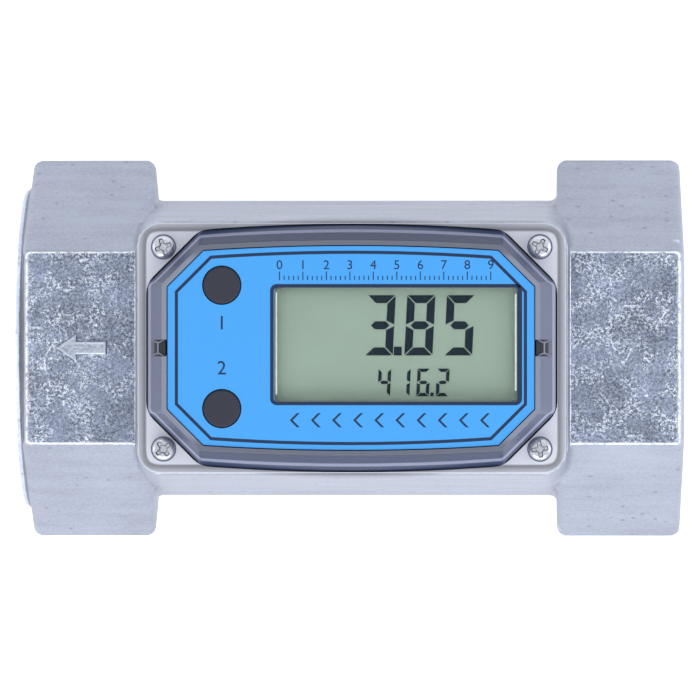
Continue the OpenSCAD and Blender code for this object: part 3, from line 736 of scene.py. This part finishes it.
# %% [markdown]
# The arrow is cast in relief on the left flat. Remeshing would melt it, so it is a piece of its own: a
# fine grid whose height follows the distance to the arrow's outline. So its edge rises softly, and its
# top is a little hollow, as on the real casting.

# %% Flow arrow
def unit(value):
    """The same value, kept between 0 and 1."""
    return max(0.0, min(1.0, value))


def depth_in(px, py, outline):
    """Distance to an outline in mm, above zero inside it."""
    near, inside = 1e9, False
    for (ax, ay), (bx, by) in zip(outline, outline[1:] + outline[:1]):
        dx, dy = bx - ax, by - ay
        t = unit(((px - ax) * dx + (py - ay) * dy) / (dx * dx + dy * dy))
        near = min(near, math.hypot(px - ax - t * dx, py - ay - t * dy))
        if (ay > py) != (by > py) and px < ax + dx * (py - ay) / dy:
            inside = not inside
    return near if inside else -near


def soft(value):
    """A smooth step from 0 to 1."""
    value = unit(value)
    return value * value * (3 - 2 * value)


RISE, HOLLOW, SUNK = 0.55, 0.09, 0.05  # of the relief, in mm, as are all sizes here


def arrow_height(depth):
    return RISE * soft((depth + 0.22) / 0.5) - HOLLOW * soft((depth - 0.35) / 0.35) - SUNK


tip, head, half, length, stem = -64.0, 4.45, 3.05, 10.9, 1.42
arrow_outline = [(tip, 0), (tip + head, half), (tip + head, stem), (tip + length, stem),
                 (tip + length, -stem), (tip + head, -stem), (tip + head, -half)]
columns, rows, cell = 125, 72, 0.1
heights = {}
for i in range(columns):
    for j in range(rows):
        px, py = tip - 0.7 + i * cell, (j - (rows - 1) / 2) * cell
        heights[i, j] = (px, py, arrow_height(depth_in(px, py, arrow_outline)))
kept = [(i, j) for i in range(columns - 1) for j in range(rows - 1)
        if max(heights[i + a, j + b][2] for a in (0, 1) for b in (0, 1)) > -0.049]
used = sorted({(i + a, j + b) for i, j in kept for a in (0, 1) for b in (0, 1)})
order = {key: n for n, key in enumerate(used)}
verts = [(heights[key][0] * MM + BODY_X, heights[key][1] * MM, FLAT_Z + heights[key][2] * MM) for key in used]
faces = [(order[i, j], order[i + 1, j], order[i + 1, j + 1], order[i, j + 1]) for i, j in kept]
arrow = new_piece("flow_arrow", verts, faces)
finish_with(arrow, "cast_aluminium", "cast_relief_lit_and_shaded")
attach(arrow, "meter")
print("arrow:", len(arrow.data.polygons), "faces")

# %% [markdown]
# The two ports take a pipe with a 2 inch parallel thread. A thread is one ridge wound round the bore, so
# a small profile is swept along a helix, and its height fades out over the first and the last half turn.

# %% Port threads
ROOT_R, CREST_R, PITCH, STEPS = 29.8, 28.4, 2.309, 80  # radii and pitch in mm, steps in a turn
FOOT_W, TOP_W, IN_WALL = 1.08, 0.28, 0.1  # half widths of the ridge, and its hold in the wall


def thread(name, start, end):
    turns = abs(end - start) / PITCH
    count = int(turns * STEPS)
    verts, faces = [], []
    for i in range(count + 1):
        share = i / count
        angle = 2 * math.pi * turns * share
        fade = min(1.0, share * turns / 0.5, (1 - share) * turns / 0.5)
        top = ROOT_R - (ROOT_R - CREST_R) * fade
        x = start + (end - start) * share
        for dx, r in ((-FOOT_W, ROOT_R + IN_WALL), (-TOP_W, top), (TOP_W, top), (FOOT_W, ROOT_R + IN_WALL)):
            verts.append(((x + dx) * MM + BODY_X, r * MM * math.cos(angle), AXIS_Z + r * MM * math.sin(angle)))
    for i in range(count):
        a, b = i * 4, i * 4 + 4
        faces += [(a + k, a + k + 1, b + k + 1, b + k) for k in range(3)] + [(a + 3, a, b, b + 3)]
    faces += [(3, 2, 1, 0), tuple(count * 4 + k for k in range(4))]
    made = new_piece(name, verts, faces)
    made.data.set_sharp_from_angle(angle=math.radians(35))
    finish_with(made, "cast_aluminium")
    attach(made, "meter")
    print(name + ":", len(made.data.polygons), "faces")


thread("inlet_thread", 47.2, 69.8)
thread("outlet_thread", -47.2, -71.3)

# %% [markdown]
# The clear cover keeps the exact CAD shape, because its flange, slanting walls and rim are what the eye
# compares. The upright corners of its walls are rounded by 2 mm, and all other edges are broken by a
# quarter of a millimetre, because clear plastic is read by its bright edges. One Bevel modifier does
# both, by the weight of each edge. Faces that the CAD file cut into triangles are joined first, so that
# the bevel runs clean. Weighted normals keep flat faces flat, or the window would warp the display.

# %% Clear cover
CORNER_R, BROKEN_EDGE = 2.0 * MM, 0.25 * MM

cover = copy_of("electronics_case", "clear_cover", "meter")
work = bmesh.new()
work.from_mesh(cover.data)
bmesh.ops.dissolve_limit(work, angle_limit=math.radians(0.6), verts=work.verts, edges=work.edges)
share = work.edges.layers.float.new("bevel_weight_edge")
uprights = 0
for edge in work.edges:
    foot, top = sorted((v.co for v in edge.verts), key=lambda point: point.z)
    if edge.calc_face_angle(0) > math.radians(28):
        upright = abs(foot.z - FLANGE_TOP) < 0.05 * MM and top.z - foot.z > 2 * MM and abs(foot.y) > 10 * MM
        edge[share] = 1.0 if upright else BROKEN_EDGE / CORNER_R
        uprights += upright
work.to_mesh(cover.data)
work.free()
modify(cover, "BEVEL", width=CORNER_R, segments=3, limit_method="WEIGHT", miter_outer="MITER_ARC")
settle(cover)
cover.data.shade_smooth()
cover.data.set_sharp_from_angle(angle=math.radians(20))
modify(cover, "WEIGHTED_NORMAL", keep_sharp=True, weight=90)
settle(cover)
print("cover:", len(cover.data.polygons), "faces,", uprights, "upright corners")

# %% [markdown]
# Each face of the cover goes to its zone by where it lies and how it is turned. The roof and all that is
# inside stay clear. Below the top of the flange, only the rounded outer edge gets a painted highlight.

# %% Zones of the clear cover
FLANGE_CORNER, BRIGHT_WIDTH = 5.0 * MM, 0.35 * MM
finish_with(cover, "clear_case")
for zone in ("clear_flange", "clear_wall", "clear_rim", "clear_edge_highlight"):
    cover.data.materials.append(FINISHES[zone])
FLANGE, WALL, RIM, EDGE_HIGHLIGHT = 1, 2, 3, 4
for face in cover.data.polygons:
    if face.center.z < FLANGE_TOP + 0.02 * MM:
        along = abs(face.center.x - BODY_X) - FLANGE_HALF[0] + FLANGE_CORNER
        across = abs(face.center.y) - FLANGE_HALF[1] + FLANGE_CORNER
        outer = math.hypot(max(0.0, along), max(0.0, across)) > FLANGE_CORNER - BRIGHT_WIDTH
        face.material_index = EDGE_HIGHLIGHT if outer and 0.25 < face.normal.z < 0.97 else FLANGE
    elif abs(face.normal.z) < 0.93:
        face.material_index = WALL
    elif face.center.z > LABEL_Z + 0.1 * MM:
        face.material_index = RIM
print("faces of each zone:", [sum(face.material_index == k for face in cover.data.polygons) for k in range(5)])

# %% [markdown]
# Half way up each end wall is a slot where a hook of the inner frame snaps in. Through the smoky plastic
# its sides look narrowed like a bow tie, with a light edge across. Small plates paint that look as light
# and shade: a dark plate stands for the shade deep in the slot, and light strips are painted highlights.
# They lie in the slot, and take their height from the wall beside it.

# %% Latches in the end walls
# painted tones of the slot: dark is painted shade, edge and light are painted highlights
SLOT_PAINTED_TONES = {"light": (112, 115, 129), "grey": (56, 59, 69), "dark": (38, 40, 49), "edge": (146, 150, 164)}
for tone, rgb in SLOT_PAINTED_TONES.items():
    moulded("latch_" + tone, rgb, 0.5, specular=0.2)
cover_skin = BVHTree.FromPolygons([v.co for v in cover.data.vertices], [p.vertices for p in cover.data.polygons])
BESIDE_SLOT, ABOVE = 3.2 * MM, 0.2  # where the rays start that look for the wall


def on_end_wall(name, plates, sink, finish):
    """Flat plates in the slots of both end walls, from corner points in mm, measured from the middle."""
    verts, faces = [], []
    for side in (-1, 1):
        for corners in plates:
            faces.append(tuple(range(len(verts), len(verts) + len(corners))))
            for x, y in corners:
                over = Vector((BODY_X + side * x * MM, BESIDE_SLOT, ABOVE))
                verts.append((over.x, y * MM, cover_skin.ray_cast(over, Vector((0, 0, -1)))[0].z - sink * MM))
    made = new_piece(name, verts, faces, False)
    finish_with(made, "dark_plastic", finish)
    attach(made, "meter")


wedge = [(42.6, 1.75), (41.6, 1.2), (40.8, 1.2), (39.8, 1.75)]
line = [(42.6, 1.6), (41.6, 1.05), (40.8, 1.05), (39.8, 1.6)] + wedge[::-1]
on_end_wall("latch_outer", [box_of(42.1, -1.7, 42.9, 1.7)], 0.12, "latch_light")
on_end_wall("latch_hook", [box_of(41.1, -1.7, 42.1, 1.7)], 0.12, "latch_grey")
on_end_wall("latch_root", [box_of(39.5, -1.7, 41.1, 1.7)], 0.12, "latch_dark")
on_end_wall("latch_ridge", [box_of(41.05, -1.2, 41.35, 1.2)], 0.08, "latch_edge")
on_end_wall("latch_sides", [[(x, s * y) for x, y in wedge] for s in (-1, 1)], 0.06, "latch_light")
on_end_wall("latch_side_edges", [[(x, s * y) for x, y in line] for s in (-1, 1)], 0.04, "latch_edge")
print("latches: 6 pieces in 2 walls")

# %% [markdown]
# Four pan head screws hold the cover. A cross recess is awkward to cut, so the head is a height map on
# rings of points: the height is a dome, less the depth of the cross at that point. The walls of the cross
# get a darker finish as painted shade, and a thin dark ring round each head is a painted shadow where it
# sinks into its pocket.

# %% Cover screws
RINGS, SPOKES = 44, 120
HEAD_R, HEAD_H, HEAD_EDGE = 2.45, 1.9, 0.75  # in mm, as are the next three lines
WING_HALF, WING_REACH, HEART, CROSS_DEPTH = 0.56, 1.8, 1.15, 1.35
STEM = ((HEAD_R, 0.0), (1.45, 0.0), (1.45, -9.0), (1.1, -9.4))
SCREW_SHADOW_RING = ((2.72, 0.01), (2.6, 0.03), (2.3, 0.04))


def circle(radius, count):
    return [(radius * math.cos(math.tau * j / count), radius * math.sin(math.tau * j / count)) for j in range(count)]


def bands(rings, count, start=0):
    """Faces between rings of points, which follow each other from point number start."""
    faces = []
    for a in range(start, start + (rings - 1) * count, count):
        b = a + count
        faces += [(a + j, b + j, b + (j + 1) % count, a + (j + 1) % count) for j in range(count)]
    return faces


def head_height(x, y):
    dome = HEAD_EDGE + (HEAD_H - HEAD_EDGE) * math.sqrt(max(0.0, 1 - (math.hypot(x, y) / HEAD_R) ** 3.4))
    across, out = min(abs(x), abs(y)), max(abs(x), abs(y))
    wing = unit((WING_HALF - 0.10 * out - across) / 0.10) * unit((WING_REACH - out) / 0.15)
    heart = unit((HEART - across - out) / 0.15)
    return dome - max(wing * (CROSS_DEPTH - 0.35 * out), heart * CROSS_DEPTH)


def screw(name, place, turn):
    flat = [(0, 0)] + [point for i in range(1, RINGS + 1) for point in circle(HEAD_R * i / RINGS, SPOKES)]
    verts = [(x, y, head_height(x, y)) for x, y in flat] + [(x, y, z) for r, z in STEM for x, y in circle(r, SPOKES)]
    faces = [(0, 1 + j, 1 + (j + 1) % SPOKES) for j in range(SPOKES)] + bands(RINGS + len(STEM), SPOKES, 1)
    faces.append(tuple(range(len(verts) - SPOKES, len(verts))))
    spin = Matrix.Rotation(math.radians(turn), 3, "Z")
    made = new_piece(name, [spin @ Vector(v) * MM + place for v in verts], faces)
    made.data.set_sharp_from_angle(angle=math.radians(50))
    finish_with(made, "screw_steel")
    made.data.materials.append(FINISHES["recess_painted_shade"])
    for face in made.data.polygons:
        px, py, pz = (face.center - place) / MM
        # painted shade on the steep walls of the cross
        if pz > 0 and math.hypot(px, py) < 2.1 and face.normal.z < 0.72:
            face.material_index = 1
    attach(made, "meter")
    return made


low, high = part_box("cover_screws")
reach_x, reach_y = (high.x - low.x) / 2 - 2.8 * MM, (high.y - low.y) / 2 - 2.8 * MM
screws = []
for i, (sx, sy, turn) in enumerate(((-1, 1, 20), (1, 1, 62), (-1, -1, 38), (1, -1, 8))):
    place = Vector((BODY_X + sx * reach_x, sy * reach_y, FLANGE_TOP))
    screws.append((screw(f"cover_screw_{i + 1}", place, turn), place))
for piece, _ in screws:
    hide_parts("cover_screws")
for piece, place in screws:
    # a painted shadow ring round each head
    verts = [(place.x + x, place.y + y, FLANGE_TOP + z * MM) for r, z in SCREW_SHADOW_RING for x, y in circle(r * MM, 48)]
    edge = new_piece(piece.name.replace("screw", "pocket"), verts, bands(3, 48))
    finish_with(edge, "dark_plastic", "recess_painted_shade")
    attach(edge, "meter")
print("screws:", len(screws), "at", round(reach_x / MM, 2), round(reach_y / MM, 2))

# %% [markdown]
# The keys are moulded rubber buttons: a flat top with a soft rim, standing a little proud of the label,
# with a skirt under the cover that keeps them in. Each is turned from one profile.

# %% Keys
def turned(name, profile, x, y, steps=96):
    """A round piece from (radius, height) points in mm and metres, first and last on its axis."""
    inner = profile[1:-1]
    verts = [(x + px, y + py, z) for r, z in inner for px, py in circle(r * MM, steps)]
    faces = bands(len(inner), steps)
    first, last, end = len(verts), len(verts) + 1, (len(inner) - 1) * steps
    verts += [(x, y, profile[0][1]), (x, y, profile[-1][1])]
    faces += [(first, (j + 1) % steps, j) for j in range(steps)]
    faces += [(last, end + j, end + (j + 1) % steps) for j in range(steps)]
    return new_piece(name, verts, faces)


CAP_R, CAP_ROUND = 4.0, 0.5  # in mm, as is the next line
SKIRT_R, SKIRT_T, POST_R, POST_H = 5.1, 0.8, 1.7, 1.0


def key_profile(low, high):
    top = [(0, high - 0.02 * MM), (2.2, high - 0.03 * MM), (3.2, high - 0.06 * MM)]
    for angle in (0, 22, 45, 68, 90):
        a = math.radians(angle)
        top.append((CAP_R - CAP_ROUND + CAP_ROUND * math.sin(a), high - 0.06 * MM - CAP_ROUND * MM * (1 - math.cos(a))))
    skirt = low + POST_H * MM
    skirt_top = skirt + SKIRT_T * MM
    return top + [(CAP_R, skirt_top), (SKIRT_R, skirt_top), (SKIRT_R, skirt), (POST_R, skirt), (POST_R, low), (0, low)]


for node, body in (("upper_key", "upper_button"), ("lower_key", "lower_button")):
    low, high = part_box(node)
    cap = turned(node + "_cap", key_profile(low.z, high.z), (low.x + high.x) / 2, (low.y + high.y) / 2)
    cap.data.set_sharp_from_angle(angle=math.radians(40))
    finish_with(cap, "key_rubber")
    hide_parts(node)
    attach(cap, body)
    print(cap.name, "top at", round(high.z / MM, 2))

# %% [markdown]
# The print on the label: a dark line that follows its eight sides, and a dark frame round the window.
# Real ink has almost no thickness, so each line is a very thin plate just above the film. Outlines are
# lists of points, and a ring is drawn between two of them.

# %% Outlines and thin plates
INK = 0.03 * MM


def bowed_octagon(half_x, half_y, cut, bow, steps=12):
    """The outline of the housing: cut corners, and long sides that bow out."""
    side = []
    for i in range(steps + 1):
        s = 1 - 2 * i / steps
        side.append(((half_x - cut) * s, half_y - bow * s * s))
    end = half_y - bow - cut
    return [(half_x, end)] + side + [(-half_x, end), (-half_x, -end)] + [(-x, -y) for x, y in side] + [(half_x, -end)]


def rounded(outline, radius, steps=4):
    """The outline with its sharp corners turned on a radius."""
    out = []
    for i, place in enumerate(outline):
        corner = Vector(place)
        before, after = Vector(outline[i - 1]) - corner, Vector(outline[(i + 1) % len(outline)]) - corner
        turn = math.pi - before.angle(after)
        if turn < 0.35:
            out.append(tuple(corner))
            continue
        first, last = (corner + way.normalized() * radius * math.tan(turn / 2) for way in (before, after))
        for k in range(steps + 1):
            s = k / steps
            out.append(tuple(first * (1 - s) ** 2 + corner * 2 * s * (1 - s) + last * s * s))
    return out


def rounded_box(cx, cy, length, width, r, steps=6):
    out = []
    for sx, sy, start in ((1, 1, 0), (-1, 1, 90), (-1, -1, 180), (1, -1, 270)):
        for i in range(steps + 1):
            a = math.radians(start + 90 * i / steps)
            out.append((cx + sx * (length / 2 - r) + r * math.cos(a), cy + sy * (width / 2 - r) + r * math.sin(a)))
    return out


def thin_plate(name, outlines, faces, level, slot, finish):
    """A plate of ink from outline points in mm. Its faces count the lower points, then the upper ones."""
    verts = [(x * MM + BODY_X, y * MM, z)
             for points in outlines for z in (level - INK / 2, level + INK) for x, y in points]
    made = new_piece(name, verts, faces, False)
    finish_with(made, slot, finish)
    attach(made, "meter")


def ink_ring(name, outer, inner, level, slot="blue_label", finish="print_ink"):
    """A thin plate between two outlines with the same number of points."""
    n, faces = len(outer), []
    for j in range(n):
        k = (j + 1) % n
        faces += [(2 * n + j, 2 * n + k, 3 * n + k, 3 * n + j), (j, k, n + k, n + j),
                  (j, k, 2 * n + k, 2 * n + j), (n + j, n + k, 3 * n + k, 3 * n + j)]
    thin_plate(name, [outer + inner], faces, level, slot, finish)


def ink_bars(name, bars, level, slot="blue_label", finish="print_ink"):
    """Thin plates from lists of corner points, joined in one piece."""
    start, faces = 0, []
    for corners in bars:
        n = len(corners)
        faces += [tuple(range(start, start + n)), tuple(range(start + n, start + 2 * n))]
        faces += [(start + j, start + (j + 1) % n, start + n + (j + 1) % n, start + n + j) for j in range(n)]
        start += 2 * n
    thin_plate(name, bars, faces, level, slot, finish)


def bar(x, y, length, width):
    return box_of(x - length / 2, y - width / 2, x + length / 2, y + width / 2)


print("ink is", INK / MM, "mm thick")

# %% [markdown]
# The printed lines come first. The same thin plates also draw what makes the housing readable from
# above: a painted shadow at the foot of its walls, painted shade in the gap round the label, and the shade
# and the two glints at the ends of the window, where the edge of the glass catches light.

# %% Label print: lines
JUST_OVER = LABEL_Z + 0.01 * MM
WINDOW = (9.63, 0.7)  # its middle in mm
ink_ring("label_border", bowed_octagon(37.5, 20.7, 7.55, 1.05), bowed_octagon(36.84, 20.04, 7.16, 1.05), LABEL_Z)
ink_ring("window_border", rounded_box(*WINDOW, 53.64, 25.8, 1.4), rounded_box(*WINDOW, 52.14, 24.3, 0.8), LABEL_Z)
# painted shadow along the foot of the cover's walls
ink_ring("cover_foot_shadow", rounded(bowed_octagon(44.02, 26.6, 11.5, 1.3), 5.5),
         rounded(bowed_octagon(43.5, 26.15, 11.4, 1.3), 5.5), FLANGE_TOP + 0.03 * MM, "dark_plastic", "seam_painted_shade")
# painted shade in the gap round the label
ink_ring("label_gap_shade", bowed_octagon(39.24, 21.89, 7.76, 1.05), bowed_octagon(39.06, 21.71, 7.65, 1.05),
         LABEL_Z - 0.2 * MM, "dark_plastic", "seam_painted_shade")
ink_bars("window_shade", [bar(35.9, 0.7, 0.9, 24.3)], JUST_OVER)
ink_bars("window_glints", [bar(-15.85, 1.0, 0.3, 21.8), bar(35.1, 1.2, 0.35, 20.6)], JUST_OVER, finish="window_edge_glint")
print("lines: 4 rings, 1 shade and 2 glints")

# %% [markdown]
# Where the real label has words, this one has plain marks: a scale with numbers above the window, small
# chevrons that point the way of the flow below it, and the numbers 1 and 2 beside the keys.

# %% Label print: marks
SCALE_X = -15.2
ticks = [bar(SCALE_X + i, 14.9 + (0.45 if i % 5 == 0 else 0), 0.2, 1.8 if i % 5 == 0 else 0.9) for i in range(46)]
ink_bars("label_scale", ticks, LABEL_Z)
chevron = [(0, -15.4), (1.5, -13.9), (2.1, -13.9), (0.6, -15.4), (2.1, -16.9), (1.5, -16.9)]
chevrons = [[(-13.0 + i * 4.5 + x, y) for x, y in chevron] for i in range(10)]
ink_bars("label_flow_marks", chevrons, LABEL_Z)
print("marks:", len(ticks), "ticks,", len(chevrons), "chevrons")

# %% [markdown]
# The numbers are set in the built-in plain type, because round figures are tedious to draw point by
# point. The type is turned into a mesh as thick as the ink.

# %% Label print: numbers
def ink_number(name, text, x, y, tall):
    """A plain printed number, centred on a place in mm."""
    curve = bpy.data.curves.new(name, "FONT")
    curve.body = text
    curve.size = tall / 0.72 * MM
    curve.align_x = curve.align_y = "CENTER"
    curve.extrude = INK / 2
    curve.resolution_u = 4
    drawn = add_object(name, curve)
    drawn.location = (x * MM + BODY_X, y * MM, LABEL_Z + INK / 3)
    bpy.context.view_layer.update()
    mesh = bpy.data.meshes.new_from_object(drawn.evaluated_get(bpy.context.evaluated_depsgraph_get()))
    mesh.transform(drawn.matrix_world)
    bpy.data.objects.remove(drawn)
    made = add_object(name, mesh)
    finish_with(made, "blue_label", "print_ink")
    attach(made, "meter")


numbers = [(f"scale_number_{i}", str(i), SCALE_X + 5 * i, 17.6, 2.0) for i in range(10)]
numbers += [("key_number_1", "1", -27.5, 5.2, 3.0), ("key_number_2", "2", -27.5, -4.4, 3.0)]
for number in numbers:
    ink_number(*number)
print("numbers:", len(numbers))

# %% [markdown]
# The display shows its numbers in slanted seven segment figures. Each segment is a long hexagon, and a
# figure is the list of its lit segments. They lie just above the cell, under the clear roof.

# %% Display figures
LIT = {"1": "bc", "2": "abged", "3": "abgcd", "4": "fgbc", "5": "afgcd", "6": "afgedc", "8": "abcdefg"}


def segment_bars(text, x, y, wide, tall, stroke, pitch, gap, slant=0.05):
    """Corner lists of the lit segments, with mitred ends. x and y are the lower left corner."""
    t, m = stroke, tall / 2
    shapes = {
        "a": [(gap, tall), (wide - gap, tall), (wide - t - gap, tall - t), (t + gap, tall - t)],
        "d": [(t + gap, t), (wide - t - gap, t), (wide - gap, 0), (gap, 0)],
        "g": [(t / 2 + gap, m), (t + gap, m + t / 2), (wide - t - gap, m + t / 2),
              (wide - t / 2 - gap, m), (wide - t - gap, m - t / 2), (t + gap, m - t / 2)],
        "f": [(0, tall - gap), (t, tall - t - gap), (t, m + t / 2 + gap), (0, m + gap)],
        "e": [(0, m - gap), (t, m - t / 2 - gap), (t, t + gap), (0, gap)],
    }
    shapes["b"] = [(wide - px, py) for px, py in shapes["f"]]
    shapes["c"] = [(wide - px, py) for px, py in shapes["e"]]
    bars = []
    for sign in text:
        if sign == ".":
            bars.append(bar(x - (pitch - wide) / 2 - 0.1 * t, y + t * 0.55, t, t * 1.1))
            continue
        bars += [[(x + px + slant * py, y + py) for px, py in shapes[key]] for key in LIT[sign]]
        x += pitch
    return bars


figures = segment_bars("3.85", 2.9, -1.6, wide=6.0, tall=12.85, stroke=1.7, pitch=8.46, gap=0.16)
figures += segment_bars("416.2", 5.6, -10.3, wide=2.7, tall=5.9, stroke=0.72, pitch=4.15, gap=0.09)
ink_bars("display_figures", figures, LCD_Z + 0.03 * MM, "lcd_glass", "lcd_segment")
print("segments:", len(figures))

# %% [markdown]
# Last, colours are shown as they are written, without a film look.

# %% Finish
bpy.context.scene.view_settings.view_transform = "Standard"
